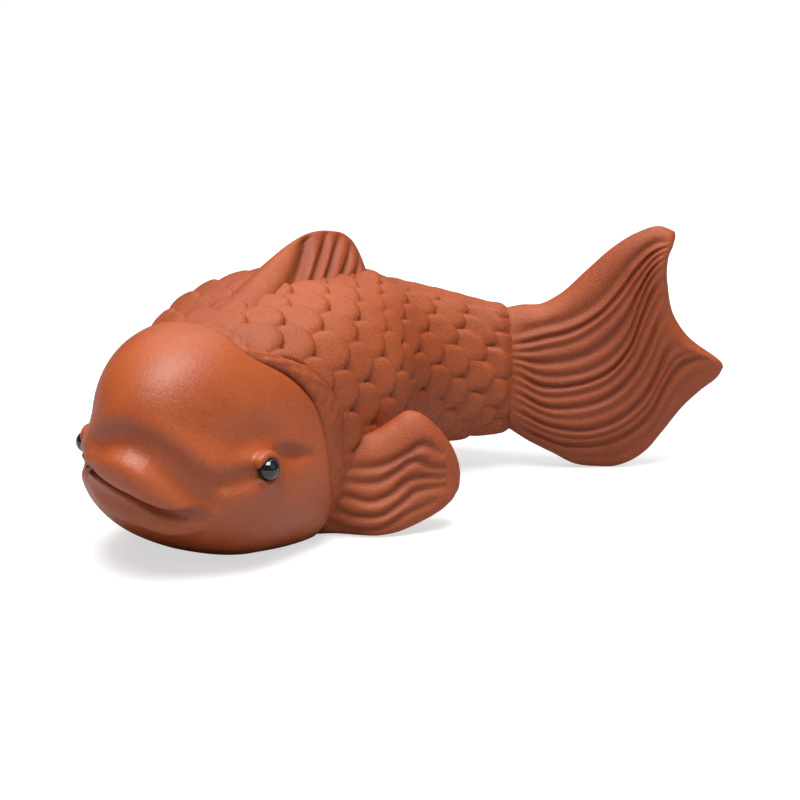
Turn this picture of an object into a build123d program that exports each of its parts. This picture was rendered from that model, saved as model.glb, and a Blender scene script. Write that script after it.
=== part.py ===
from build123d import *
import math
import os

os.makedirs("parts", exist_ok=True)

# Fish figurine of fired red clay, curled to its left. Lengths are millimetres, turns are degrees.
# A middle line lies on the ground under the fish: a straight run under the head and the
# shoulders, one bend, and a straight run under the tail. Stations are distances along it,
# counted from the tip of the muzzle. Row names ending in _share hold parts of a length.

# Middle line
straight_run = 61.0
bend_radius = 42.0
head_turn = 31.0
tail_turn = -33.0
foot_station = 37.0

# Head: a tall dome over a wide jaw, hollow, open at the neck
head_length = 54.0
head_half_width = 21.4
head_height = 44.8
head_wall = 3.6

# Trunk: widest behind the neck, drawn in to the root of the tail
trunk_start = 26.0
trunk_length = 90.0
trunk_half_width = 24.0
trunk_height = 44.6
trunk_wall = 3.6
hollow_end_share = 0.86
vent_station_share = 0.34
vent_radius = 1.6

# Neck seam, a leaning flat joint, with a clay band laid over it
seam_station = 48.5
seam_lean = 26.6
band_width = 3.8
band_rise = 1.1

# Eyes: glass beads in rolled rings of clay, placed by shares of the head
eye_station_share = 0.34
eye_side_share = 0.908
eye_height_share = 0.455
eye_radius = 2.1
lid_ring_radius = 2.6
lid_roll_radius = 1.3
eye_forward_turn = 12.0
eye_upward_turn = 4.0

# Mouth: two rolls of clay bent round the muzzle, placed by shares of the head
mouth_height_share = 0.40
mouth_half_width_share = 0.575
mouth_depth_share = 0.115
mouth_set_back_share = 0.04
mouth_corner_drop = 3.4
upper_lip_radius = 4.3
lower_lip_radius = 3.0
lip_end_radius = 0.9
lip_spread_share = 0.8
lip_steps = 6
lip_shares = (0, 0.25, 0.5, 0.75, 1)

# Dorsal fin, a blade along the top of the trunk
dorsal_start_share = 0.011
dorsal_end_share = 0.638
dorsal_rise = 8.0
dorsal_foot_share = 0.81
dorsal_half_width = 7.6
dorsal_pear_share = 0.74

# Pectoral fins, thick paddles swept back from the neck
pectoral_station = 44.0
pectoral_side = 15.0
pectoral_sweep = 52.0
pectoral_length = 28.6
pectoral_height = 21.5
pectoral_half_width = 4.6

# Tail fin, an upright blade with two lobes, rooted in the end of the trunk
tail_root_share = 0.956
tail_length = 45.6
tail_height = 51.4
tail_root_half_width = 6.7

# Furrows between the rays of the fins
furrow_width = 2.0
furrow_depth = 1.1
ray_points = 96
thin_share = 0.55

overrun = 20.0
ring_points = 14

# Rows: station, half width, bottom, top, fullness (1 is an oval, less is squarer)
dome_rows_share = [
    (0.012, 0.130, 0.480, 0.660, 0.95),
    (0.056, 0.346, 0.350, 0.788, 0.93),
    (0.148, 0.561, 0.232, 0.906, 0.92),
    (0.278, 0.729, 0.161, 0.978, 0.91),
    (0.444, 0.836, 0.120, 1.000, 0.90),
    (0.630, 0.925, 0.060, 0.985, 0.88),
    (0.815, 1.020, -0.036, 0.975, 0.84),
    (1.000, 1.035, -0.036, 0.970, 0.82),
]
jaw_rows_share = [
    (0.033, 0.140, 0.345, 0.480, 0.95),
    (0.074, 0.345, 0.240, 0.560, 0.90),
    (0.148, 0.580, 0.140, 0.600, 0.86),
    (0.278, 0.840, 0.040, 0.620, 0.84),
    (0.444, 0.985, -0.020, 0.620, 0.84),
    (0.630, 1.000, -0.036, 0.610, 0.82),
    (0.815, 1.000, -0.036, 0.600, 0.80),
    (1.000, 1.000, -0.036, 0.600, 0.80),
]
trunk_rows_share = [
    (0.000, 0.760, -0.036, 0.940, 0.86),
    (0.140, 0.850, -0.036, 0.968, 0.83),
    (0.270, 0.940, -0.036, 0.995, 0.80),
    (0.400, 1.000, -0.036, 1.000, 0.82),
    (0.510, 0.940, 0.000, 0.985, 0.86),
    (0.620, 0.800, 0.057, 0.960, 0.92),
    (0.730, 0.630, 0.113, 0.915, 1.00),
    (0.840, 0.450, 0.153, 0.855, 1.00),
    (0.930, 0.325, 0.168, 0.795, 1.00),
    (1.000, 0.270, 0.168, 0.760, 1.00),
]
# Rows: station, half width, crest (0 at the foot, 1 at the top)
dorsal_rows_share = [
    (0.00, 0.74, 0.33),
    (0.12, 0.92, 0.48),
    (0.36, 1.00, 0.72),
    (0.58, 0.90, 0.97),
    (0.76, 0.72, 1.00),
    (0.90, 0.55, 0.88),
    (1.00, 0.35, 0.38),
]
pectoral_rows_share = [
    (0.00, 0.85, 0.03, 0.84),
    (0.14, 0.94, 0.02, 0.87),
    (0.27, 1.00, 0.02, 0.91),
    (0.42, 1.00, 0.03, 0.96),
    (0.57, 0.96, 0.06, 1.00),
    (0.70, 0.89, 0.10, 1.00),
    (0.80, 0.78, 0.15, 0.96),
    (0.89, 0.64, 0.21, 0.89),
    (0.97, 0.38, 0.34, 0.74),
    (1.00, 0.12, 0.46, 0.62),
]
# Furrows of the pectoral fins: shares of their length and height
pectoral_furrows_share = [
    [(0.20, 0.64), (0.42, 0.66), (0.59, 0.76), (0.71, 0.81), (0.83, 0.71)],
    [(0.16, 0.52), (0.38, 0.51), (0.55, 0.61), (0.67, 0.67), (0.80, 0.58)],
    [(0.12, 0.42), (0.27, 0.36), (0.42, 0.37), (0.59, 0.50), (0.82, 0.48)],
    [(0.10, 0.25), (0.25, 0.20), (0.42, 0.22), (0.57, 0.33), (0.74, 0.40)],
]
tail_outline_share = [
    (0.00, 0.155), (0.10, 0.115), (0.22, 0.035), (0.33, -0.012), (0.42, -0.010),
    (0.52, 0.060), (0.63, 0.215), (0.79, 0.335), (0.90, 0.415), (0.985, 0.462),
    (0.84, 0.510), (0.76, 0.605), (0.705, 0.770), (0.735, 0.920), (0.69, 0.990),
    (0.56, 0.955), (0.40, 0.830), (0.25, 0.720), (0.14, 0.672), (0.00, 0.660),
]

tail_rows_share = [
    (0.00, 1.00, 0.120, 0.680),
    (0.08, 0.93, 0.050, 0.780),
    (0.20, 0.81, -0.070, 0.960),
    (0.34, 0.69, -0.230, 1.150),
    (0.48, 0.59, -0.310, 1.240),
    (0.60, 0.52, -0.350, 1.270),
    (0.70, 0.47, -0.380, 1.290),
    (0.84, 0.41, -0.400, 1.300),
    (1.02, 0.33, -0.400, 1.300),
]
# Furrows of the tail fin: shares of its length and height
tail_furrows_share = [
    [(0.08, 0.195), (0.24, 0.115), (0.39, 0.100), (0.56, 0.145), (0.68, 0.235), (0.76, 0.375), (0.84, 0.45)],
    [(0.08, 0.270), (0.21, 0.195), (0.38, 0.180), (0.54, 0.235), (0.64, 0.335), (0.71, 0.470)],
    [(0.08, 0.365), (0.20, 0.320), (0.34, 0.320), (0.485, 0.370), (0.58, 0.465), (0.645, 0.60)],
    [(0.08, 0.435), (0.18, 0.405), (0.33, 0.405), (0.48, 0.465), (0.56, 0.545), (0.60, 0.68), (0.65, 0.79)],
    [(0.08, 0.510), (0.22, 0.520), (0.335, 0.545), (0.44, 0.605), (0.54, 0.700), (0.61, 0.79), (0.68, 0.87)],
    [(0.08, 0.565), (0.18, 0.583), (0.31, 0.613), (0.43, 0.680), (0.51, 0.755), (0.59, 0.85)],
]

# Places along the middle line, in the frame of the foot's middle
head_rad = math.radians(head_turn)
tail_rad = math.radians(tail_turn)
bend_length = bend_radius * (head_rad - tail_rad)
bend_end = straight_run + bend_length
bend_start_x = (straight_run - foot_station) * math.cos(head_rad)
bend_start_y = (straight_run - foot_station) * math.sin(head_rad)
bend_middle_x = bend_start_x + bend_radius * math.sin(head_rad)
bend_middle_y = bend_start_y - bend_radius * math.cos(head_rad)


def heading(station):
    """Direction of the middle line towards the tail, in radians from the X axis."""
    bent = min(max(station - straight_run, 0), bend_length)
    return head_rad - bent / bend_radius


def middle(station):
    """Point of the middle line on the ground at one station."""
    if station < straight_run:
        run = station - foot_station
        return run * math.cos(head_rad), run * math.sin(head_rad)
    turn = heading(station)
    past = max(station - bend_end, 0)
    x = bend_middle_x - bend_radius * math.sin(turn) + past * math.cos(turn)
    y = bend_middle_y + bend_radius * math.cos(turn) + past * math.sin(turn)
    return x, y


def at(station, side, height):
    """Point of the fish: station along it, side to its left, height over the ground."""
    x, y = middle(station)
    turn = heading(station)
    return Vector(x + side * math.sin(turn), y - side * math.cos(turn), height)


def cross_plane(station):
    """Plane square to the middle line: first axis to the fish's left, second axis up."""
    turn = heading(station)
    left = (math.sin(turn), -math.cos(turn), 0)
    forward = (-math.cos(turn), -math.sin(turn), 0)
    return Plane(origin=at(station, 0, 0), x_dir=left, z_dir=forward)


def fuller(value, fullness):
    """A sine or cosine bent outwards, so that an oval of it becomes squarer."""
    return math.copysign(abs(value) ** fullness, value)


def ring(half_width, bottom, top, fullness, pear=0):
    """Points round one section; fullness squares the oval and the pear share draws the crown in."""
    points = []
    for step in range(ring_points):
        angle = 2 * math.pi * step / ring_points
        side = half_width * fuller(math.cos(angle), fullness) * (1 - pear * math.sin(angle))
        height = (top + bottom) / 2 + (top - bottom) / 2 * fuller(math.sin(angle), fullness)
        points.append((side, height))
    return points


# Section rows in millimetres: station, half width, bottom, top, fullness
dome_rows = []
for far, wide, low, high, full in dome_rows_share:
    section = (wide * head_half_width, low * head_height, high * head_height, full)
    dome_rows.append((far * head_length, *section))
jaw_rows = []
for far, wide, low, high, full in jaw_rows_share:
    section = (wide * head_half_width, low * head_height, high * head_height, full)
    jaw_rows.append((far * head_length, *section))
trunk_rows = []
for far, wide, low, high, full in trunk_rows_share:
    station = trunk_start + far * trunk_length
    trunk_rows.append((station, wide * trunk_half_width, low * trunk_height, high * trunk_height, full))

# Sizes that follow from the head and the trunk
eye_station = eye_station_share * head_length
eye_side = eye_side_share * head_half_width
eye_height = eye_height_share * head_height
mouth_height = mouth_height_share * head_height
mouth_half_width = mouth_half_width_share * head_half_width
mouth_depth = mouth_depth_share * head_length
mouth_set_back = mouth_set_back_share * head_length
hollow_end = trunk_start + hollow_end_share * trunk_length
vent_station = trunk_start + vent_station_share * trunk_length
dorsal_start = trunk_start + dorsal_start_share * trunk_length
dorsal_length = (dorsal_end_share - dorsal_start_share) * trunk_length
dorsal_foot = dorsal_foot_share * trunk_height
dorsal_top = trunk_height + dorsal_rise
tail_root = trunk_start + tail_root_share * trunk_length

# The leaning seam between head and trunk, facing the tail
lean_rad = math.radians(seam_lean)
seam_facing = (
    math.cos(head_rad) * math.cos(lean_rad),
    math.sin(head_rad) * math.cos(lean_rad),
    math.sin(lean_rad),
)
seam_plane = Plane(
    origin=at(seam_station, 0, 0),
    x_dir=(math.sin(head_rad), -math.cos(head_rad), 0),
    z_dir=seam_facing,
)
band_plane = seam_plane.offset(band_width)


def lofted(rows, inset):
    """Solid through the section rows, drawn in by the inset all round, over the ground if drawn in."""
    with BuildPart() as form:
        for station, half_width, bottom, top, full in rows:
            low = max(bottom, 0) + inset if inset > 0 else bottom + inset
            with BuildSketch(cross_plane(station)):
                with BuildLine():
                    Spline(*ring(half_width - inset, low, top - inset, full), periodic=True)
                make_face()
        loft()
    return form.part


# Outer forms, solid for now, cut flat on the ground
with BuildPart() as head_form:
    add(lofted(dome_rows, 0))
    add(lofted(jaw_rows, 0))
    split(bisect_by=Plane.XY, keep=Keep.TOP)
    split(bisect_by=seam_plane, keep=Keep.BOTTOM)

with BuildPart() as trunk_form:
    add(lofted(trunk_rows, 0))
    split(bisect_by=Plane.XY, keep=Keep.TOP)
    split(bisect_by=seam_plane, keep=Keep.TOP)

# Hollows inside the walls
with BuildPart() as head_hollow:
    add(lofted(dome_rows[2:], head_wall))
with BuildPart() as trunk_hollow:
    add(lofted([row for row in trunk_rows if row[0] < hollow_end], trunk_wall))

# Band of clay laid over the neck seam
with BuildPart() as band_form:
    add(lofted(trunk_rows, -band_rise))
    split(bisect_by=Plane.XY, keep=Keep.TOP)
    split(bisect_by=seam_plane, keep=Keep.TOP)
    split(bisect_by=band_plane, keep=Keep.BOTTOM)

with BuildPart() as gill_collar:
    add(band_form.part)
    add(trunk_form.part, mode=Mode.SUBTRACT)
gill_collar.part.label = "gill_collar"
export_step(gill_collar.part, "parts/gill_collar.step")

# Eyes and their lids, one of each a side
eye_beads = {}
eye_lids = {}
for side_name, side in (("left", 1), ("right", -1)):
    outward = Vector(side * math.sin(head_rad), -side * math.cos(head_rad), 0)
    forward = Vector(-math.cos(head_rad), -math.sin(head_rad), 0)
    facing = outward + forward * math.tan(math.radians(eye_forward_turn))
    facing = facing + Vector(0, 0, 1) * math.tan(math.radians(eye_upward_turn))
    eye_plane = Plane(origin=at(eye_station, side * eye_side, eye_height), z_dir=facing)
    with BuildPart() as bead:
        with Locations(eye_plane.location):
            Sphere(eye_radius)
    bead.part.label = "eye_" + side_name
    export_step(bead.part, "parts/eye_" + side_name + ".step")
    eye_beads[side_name] = bead.part
    with BuildPart() as lid:
        with Locations(eye_plane.location):
            Torus(lid_ring_radius, lid_roll_radius)
        add(head_form.part, mode=Mode.SUBTRACT)
        add(bead.part, mode=Mode.SUBTRACT)
    lid.part.label = "eyelid_" + side_name
    export_step(lid.part, "parts/eyelid_" + side_name + ".step")
    eye_lids[side_name] = lid.part

# Lips, rolls that run from corner to corner of the mouth and thin out at both ends
lip_rolls = {}
for lip_name, lip_radius, lift in (
    ("upper_lip", upper_lip_radius, upper_lip_radius * lip_spread_share),
    ("lower_lip", lower_lip_radius, -lower_lip_radius * lip_spread_share),
):
    lip_points = []
    for step in range(lip_steps + 1):
        across = 2 * step / lip_steps - 1
        back = mouth_set_back + mouth_depth * across**2
        height = mouth_height + lift * (1 - across**2) - mouth_corner_drop * across**2
        lip_points.append(at(back, across * mouth_half_width, height))
    with BuildPart() as lip:
        with BuildLine() as lip_line:
            Spline(*lip_points)
        for share in lip_shares:
            swell = math.sin(math.pi * share)
            radius = lip_end_radius + (lip_radius - lip_end_radius) * swell
            with BuildSketch(Plane(origin=lip_line.line @ share, z_dir=lip_line.line % share)):
                Circle(radius)
        sweep(multisection=True)
    lip_rolls[lip_name] = lip.part
for lip_name, other_name in (("upper_lip", "none"), ("lower_lip", "upper_lip")):
    with BuildPart() as lip:
        add(lip_rolls[lip_name])
        if other_name in lip_rolls:
            add(lip_rolls[other_name], mode=Mode.SUBTRACT)
        add(head_form.part, mode=Mode.SUBTRACT)
    lip.part.label = lip_name
    export_step(lip.part, "parts/" + lip_name + ".step")


def furrow_at(line, far):
    """Height share of a furrow at one share of the fin's length, or none where it has run out."""
    for here, after in zip(line[:-1], line[1:]):
        if here[0] <= far <= after[0]:
            part = (far - here[0]) / (after[0] - here[0])
            return here[1] + part * (after[1] - here[1])
    return None


def rayed_ring(half_width, bottom, top, furrows):
    """Points round one section of a fin: an oval with a valley at each furrow, on both faces."""
    points = []
    for step in range(ray_points):
        angle = 2 * math.pi * step / ray_points
        height = (top + bottom) / 2 + (top - bottom) / 2 * math.sin(angle)
        valley = 0
        for furrow in furrows:
            away = min(abs(height - furrow) / furrow_width, 1)
            valley = max(valley, furrow_depth * (1 + math.cos(math.pi * away)) / 2)
        side = half_width * math.cos(angle)
        side = math.copysign(max(abs(side) - valley, abs(side) * thin_share), math.cos(angle))
        points.append((side, height))
    return points


def rayed_loft(rows, lines, height_unit, half_width_unit, planes, ruled):
    """Fin lofted through rayed sections on the given planes."""
    with BuildPart() as fin:
        for row, plane in zip(rows, planes):
            far, wide, low, high = row
            furrows = []
            for line in lines:
                share = furrow_at(line, far)
                if share is not None:
                    furrows.append(share * height_unit)
            with BuildSketch(plane):
                with BuildLine():
                    Spline(
                        *rayed_ring(wide * half_width_unit, low * height_unit, high * height_unit, furrows),
                        periodic=True,
                    )
                make_face()
        loft(ruled=ruled)
    return fin.part


# Dorsal fin, lofted along the back, broad at the foot and drawn in at the crest
with BuildPart() as dorsal_fin:
    for far, wide, high in dorsal_rows_share:
        crest = dorsal_foot + high * (dorsal_top - dorsal_foot)
        with BuildSketch(cross_plane(dorsal_start + far * dorsal_length)):
            with BuildLine():
                Spline(*ring(wide * dorsal_half_width, dorsal_foot, crest, 1, dorsal_pear_share), periodic=True)
            make_face()
    loft()
    split(bisect_by=seam_plane, keep=Keep.TOP)
    add(trunk_form.part, mode=Mode.SUBTRACT)
    add(band_form.part, mode=Mode.SUBTRACT)
dorsal_fin.part.label = "dorsal_fin"
export_step(dorsal_fin.part, "parts/dorsal_fin.step")

# Pectoral fins, lofted outwards from inside the trunk and cut by its skin
for side_name, side in (("left", 1), ("right", -1)):
    root = at(pectoral_station, side * pectoral_side, 0)
    turn = head_rad - side * math.radians(pectoral_sweep)
    reach = Vector(math.cos(turn), math.sin(turn), 0)
    across = (math.sin(turn), -math.cos(turn), 0)
    planes = []
    for row in pectoral_rows_share:
        planes.append(Plane(origin=root + reach * (row[0] * pectoral_length), x_dir=across, z_dir=-reach))
    paddle = rayed_loft(
        pectoral_rows_share, pectoral_furrows_share, pectoral_height, pectoral_half_width, planes, False
    )
    with BuildPart() as fin:
        add(paddle)
        split(bisect_by=seam_plane, keep=Keep.TOP)
        add(trunk_form.part, mode=Mode.SUBTRACT)
        add(band_form.part, mode=Mode.SUBTRACT)
    fin.part.label = "pectoral_fin_" + side_name
    export_step(fin.part, "parts/pectoral_fin_" + side_name + ".step")

# Tail fin: the outline of two lobes, cut out of a lofted blade that thins towards the tips
tail_plane = Plane(
    origin=at(tail_root, 0, 0),
    x_dir=(math.cos(tail_rad), math.sin(tail_rad), 0),
    z_dir=(math.sin(tail_rad), -math.cos(tail_rad), 0),
)


tail_points = []
for far, high in tail_outline_share:
    tail_points.append((far * tail_length, high * tail_height))
tail_planes = [cross_plane(tail_root + row[0] * tail_length) for row in tail_rows_share]
with BuildPart() as tail_form:
    with BuildSketch(tail_plane):
        with BuildLine():
            Spline(*tail_points)
            Line(tail_points[-1], tail_points[0])
        make_face()
    extrude(amount=tail_root_half_width + overrun, both=True)
    add(
        rayed_loft(tail_rows_share, tail_furrows_share, tail_height, tail_root_half_width, tail_planes, True),
        mode=Mode.INTERSECT,
    )
with BuildPart() as tail_fin:
    add(tail_form.part)
    split(bisect_by=Plane.XY, keep=Keep.TOP)
    add(trunk_form.part, mode=Mode.SUBTRACT)
tail_fin.part.label = "tail_fin"
export_step(tail_fin.part, "parts/tail_fin.step")


# Head and trunk shells: the outer forms less the hollows, the eye sockets and the vent
with BuildPart() as head_shell:
    add(head_form.part)
    add(head_hollow.part, mode=Mode.SUBTRACT)
    for side_name in ("left", "right"):
        add(eye_beads[side_name], mode=Mode.SUBTRACT)
head_shell.part.label = "head_shell"
export_step(head_shell.part, "parts/head_shell.step")

with BuildPart() as body_shell:
    add(trunk_form.part)
    add(trunk_hollow.part, mode=Mode.SUBTRACT)
    with Locations(at(vent_station, 0, 0)):
        Cylinder(vent_radius, trunk_wall + overrun, mode=Mode.SUBTRACT)
body_shell.part.label = "body_shell"
export_step(body_shell.part, "parts/body_shell.step")
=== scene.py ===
# %% [markdown]
# A fish figurine of fired red clay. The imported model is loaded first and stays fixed. Every piece
# below is made in its frame, in metres, and stands for one or more of its nodes.

# %% Load the frame
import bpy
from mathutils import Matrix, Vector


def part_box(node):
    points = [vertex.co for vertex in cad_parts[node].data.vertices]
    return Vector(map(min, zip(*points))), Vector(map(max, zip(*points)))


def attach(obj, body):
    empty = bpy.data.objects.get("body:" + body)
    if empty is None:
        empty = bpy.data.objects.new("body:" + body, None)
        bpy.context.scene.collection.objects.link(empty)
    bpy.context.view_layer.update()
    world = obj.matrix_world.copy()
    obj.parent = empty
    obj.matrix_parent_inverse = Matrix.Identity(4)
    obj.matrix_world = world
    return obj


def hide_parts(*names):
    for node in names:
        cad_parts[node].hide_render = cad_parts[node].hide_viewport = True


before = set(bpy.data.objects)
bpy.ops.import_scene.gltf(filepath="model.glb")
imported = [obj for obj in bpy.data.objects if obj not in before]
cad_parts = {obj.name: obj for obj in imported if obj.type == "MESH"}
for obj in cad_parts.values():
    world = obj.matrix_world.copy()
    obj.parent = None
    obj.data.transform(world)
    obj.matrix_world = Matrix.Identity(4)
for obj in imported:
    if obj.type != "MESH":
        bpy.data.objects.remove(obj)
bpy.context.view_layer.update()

import math

import bmesh
import bpy
import numpy as np
from mathutils import Vector

# %% [markdown]
# The real fish is modelled by hand round a core that curls to the fish's left. Its shape is easiest
# to say in the fish's own terms: how far along it, how far to its left, and how high over the table.
# One function turns those three numbers into a point of the frame, so every piece can be designed as
# if the fish were straight.

# %% The middle line
MM = 0.001
STRAIGHT_RUN = 61.0
BEND_RADIUS = 42.0
FOOT_STATION = 37.0
HEAD_TURN = math.radians(31.0)
TAIL_TURN = math.radians(-33.0)


def place(station, side, height):
    """Points in metres. The middle line leaves the muzzle at HEAD_TURN, follows a circle of
    BEND_RADIUS from STRAIGHT_RUN until it points along TAIL_TURN, and runs straight again.
    side is measured square to it, to the fish's left, and height from the table."""
    parts = (np.asarray(part, float) for part in (station, side, height))
    station, side, height = np.broadcast_arrays(*parts)
    bend_length = BEND_RADIUS * (HEAD_TURN - TAIL_TURN)
    turn = HEAD_TURN - np.clip(station - STRAIGHT_RUN, 0, bend_length) / BEND_RADIUS
    start_x = (STRAIGHT_RUN - FOOT_STATION) * math.cos(HEAD_TURN)
    start_y = (STRAIGHT_RUN - FOOT_STATION) * math.sin(HEAD_TURN)
    centre_x = start_x + BEND_RADIUS * math.sin(HEAD_TURN)
    centre_y = start_y - BEND_RADIUS * math.cos(HEAD_TURN)
    past = np.maximum(station - STRAIGHT_RUN - bend_length, 0)
    before = np.minimum(station - STRAIGHT_RUN, 0)
    x = centre_x - BEND_RADIUS * np.sin(turn) + (past + before) * np.cos(turn) + side * np.sin(turn)
    y = centre_y + BEND_RADIUS * np.cos(turn) + (past + before) * np.sin(turn) - side * np.cos(turn)
    return np.stack([x, y, height], -1) * MM


def smooth_rows(rows, where):
    """Values between rows of numbers. Each row starts with its place, and the others follow
    a cubic whose slope at a row is the slope between its neighbours."""
    rows = np.asarray(rows, float)
    where = np.clip(np.asarray(where, float), rows[0, 0], rows[-1, 0])
    slope = np.stack([np.gradient(rows[:, c], rows[:, 0]) for c in range(1, rows.shape[1])], -1)
    low = np.clip(np.searchsorted(rows[:, 0], where, side="right") - 1, 0, len(rows) - 2)
    step = rows[low + 1, 0] - rows[low, 0]
    t = ((where - rows[low, 0]) / step)[..., None]
    step = step[..., None]
    a, b = rows[low, 1:], rows[low + 1, 1:]
    value = (2 * t**3 - 3 * t**2 + 1) * a + (3 * t**2 - 2 * t**3) * b
    return value + step * ((t**3 - 2 * t**2 + t) * slope[low] + (t**3 - t**2) * slope[low + 1])


def fade(value, start, end):
    """0 before start and 1 after end, with a soft step 3t^2 - 2t^3 between; start may be larger."""
    t = np.clip((value - start) / (end - start), 0, 1)
    return t * t * (3 - 2 * t)


def full_turn(count):
    """Angles in count even steps round a full turn."""
    return np.linspace(0, 2 * math.pi, count, endpoint=False)


print("tail middle", place(150.0, 0.0, 20.0))

# %% [markdown]
# A modelled form has no edges to draw, so each piece is a grid of points: rings round the form, one
# after another, closed at both ends by one point. A helper turns such a grid into a mesh. Filling
# the mesh from whole arrays keeps this quick even for a hundred thousand points.

# %% Grid to mesh
def ring_mesh(name, rings, tyre=False, fold=False, **marks):
    """Mesh object from rings, an array of rows x points x 3. Each ring closes on itself, and each
    outer ring is closed by a fan to its middle point. A tyre's rows close too, so it has no fans.
    With fold the last ring lies flat on itself, so its two sides are sewn together instead.
    marks are per-point numbers, rows x points, kept as attributes."""
    rows, columns = rings.shape[:2]
    points = rings.reshape(-1, 3)
    row = np.arange(rows if tyre else rows - 1)[:, None]
    column = np.arange(columns)[None, :]
    after = (row + 1) % rows
    beside = (column + 1) % columns
    quads = np.stack([row * columns + column, row * columns + beside,
                      after * columns + beside, after * columns + column], -1).reshape(-1, 4)
    marks = {key: np.asarray(mark, float).reshape(-1) for key, mark in marks.items()}
    loops, totals = quads.reshape(-1), np.full(len(quads), 4)
    c, d = column.ravel(), beside.ravel()
    for ring, turned in ((0, True), (rows - 1, False)):
        if tyre or (fold and ring):
            continue
        middle = np.full(columns, len(points))
        fan = [middle, d, c] if turned else [middle, c + ring * columns, d + ring * columns]
        loops = np.concatenate([loops, np.stack(fan, -1).ravel()])
        totals = np.concatenate([totals, np.full(columns, 3)])
        points = np.concatenate([points, rings[ring].mean(0)[None]])
        for key, mark in marks.items():
            marks[key] = np.append(mark, mark[ring * columns:(ring + 1) * columns].mean())
    mesh = bpy.data.meshes.new(name)
    mesh.vertices.add(len(points))
    mesh.vertices.foreach_set("co", points.astype(np.float32).ravel())
    mesh.loops.add(len(loops))
    mesh.loops.foreach_set("vertex_index", loops.astype(np.int32))
    mesh.polygons.add(len(totals))
    starts = np.concatenate([[0], np.cumsum(totals)[:-1]])
    mesh.polygons.foreach_set("loop_start", starts.astype(np.int32))
    mesh.polygons.foreach_set("loop_total", totals.astype(np.int32))
    mesh.polygons.foreach_set("use_smooth", np.ones(len(totals), bool))
    mesh.update(calc_edges=True)
    for key, mark in marks.items():
        mesh.attributes.new(key, "FLOAT", "POINT").data.foreach_set("value", mark.astype(np.float32))
    volume = signed_volume(points, loops, totals)
    if volume < 0:
        mesh.flip_normals()
    if fold:
        work = bmesh.new()
        work.from_mesh(mesh)
        bmesh.ops.remove_doubles(work, verts=work.verts, dist=0.002 * MM)
        work.to_mesh(mesh)
        work.free()
    mesh.validate()
    piece = bpy.data.objects.new(name, mesh)
    bpy.context.scene.collection.objects.link(piece)
    print(name, len(mesh.polygons), "faces", round(abs(volume) * 1e6, 3), "ml")
    return piece


def signed_volume(points, loops, totals):
    """Volume by the sum of tetrahedra to the origin, negative where the faces point inwards."""
    starts = np.concatenate([[0], np.cumsum(totals)[:-1]])
    total = 0.0
    for k in (1, 2):
        have = totals > k + 1 if k == 2 else totals > 2
        s = starts[have]
        a, b, c = points[loops[s]], points[loops[s + k]], points[loops[s + k + 1]]
        total += np.einsum("ij,ij->i", a, np.cross(b, c)).sum() / 6
    return total


def off_surface(rings, height):
    """The rings moved along the surface by height, in metres. The direction is the cross product
    of the steps to the neighbours along and round the form."""
    along = np.gradient(rings, axis=0)
    round_it = (np.roll(rings, -1, 1) - np.roll(rings, 1, 1)) / 2
    normal = np.cross(along, round_it)
    normal /= np.linalg.norm(normal, axis=-1, keepdims=True) + 1e-15
    outward = np.einsum("ijk,ijk->", normal, rings - rings.mean(1, keepdims=True))
    return rings + normal * (np.sign(outward) * height)[..., None]


# %% [markdown]
# The trunk is widest just behind the neck and draws in towards the tail. Its cross-sections are
# squarish ovals given in a short table: station, half width, bottom, top, and a fullness that is 1
# for an oval and less for a squarer one.

# %% Trunk sections
TRUNK_ROWS = [
    (26.0, 18.24, -1.6, 41.9, 0.86), (38.6, 20.4, -1.6, 43.2, 0.83), (50.3, 22.56, -1.6, 44.4, 0.80),
    (62.0, 24.0, -1.6, 44.6, 0.82), (71.9, 22.56, 0.0, 43.7, 0.86), (81.8, 19.2, 2.5, 42.1, 0.92),
    (91.7, 15.1, 5.0, 39.7, 1.0), (101.6, 10.8, 6.8, 36.9, 1.0), (109.7, 7.8, 7.5, 34.7, 1.0),
    (118.0, 6.3, 7.5, 33.6, 1.0),
]
# The shoulder outside the curl: how much wider and squarer it is, and where that comes and goes
OUTER_WIDER, OUTER_SQUARER = 0.03, 0.13
OUTER_COMES, OUTER_GOES = (28, 42), (84, 66)


def fuller(value, fullness):
    """A sine or cosine to the power of fullness, its sign kept: it squares an oval."""
    return np.sign(value) * abs(value) ** fullness


def trunk_point(station, angle, rise=0.0):
    """(side, height) of the trunk's skin. angle 0 is the fish's left and a quarter turn its back:
    side = half width * fuller cosine, height = middle + half height * fuller sine. The shoulder
    on the outside of the curl is a little fuller than the other."""
    row = smooth_rows(TRUNK_ROWS, station)
    outer = (np.cos(angle) < 0) * fade(station, *OUTER_COMES) * fade(station, *OUTER_GOES)
    wide = row[..., 0] * (1 + OUTER_WIDER * outer) + rise
    full = row[..., 3] * (1 - OUTER_SQUARER * outer)
    low, high = row[..., 1] - rise, row[..., 2] + rise
    side = wide * fuller(np.cos(angle), full)
    return side, (low + high) / 2 + (high - low) / 2 * fuller(np.sin(angle), full)


print("trunk at its widest, left side and back", trunk_point(62.0, np.array([0.0, math.pi / 2])))

# %% [markdown]
# The rubbed head ends in a curved edge, like the gill cover of a real fish: low on the flanks it
# reaches far back, and on top it stops early. Head, collar and scales all find their place by it.

# %% The head's rear edge
# angle in degrees, station
EDGE_ROWS = [
    (-90, 48.0), (-60, 47.2), (-40, 45.2), (-18, 41.8), (-2, 40.4), (19, 38.4), (37, 34.2),
    (52, 28.6), (62, 26.6), (75, 25.6), (90, 25.4),
]
RIM_LEAD = 3.0


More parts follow.
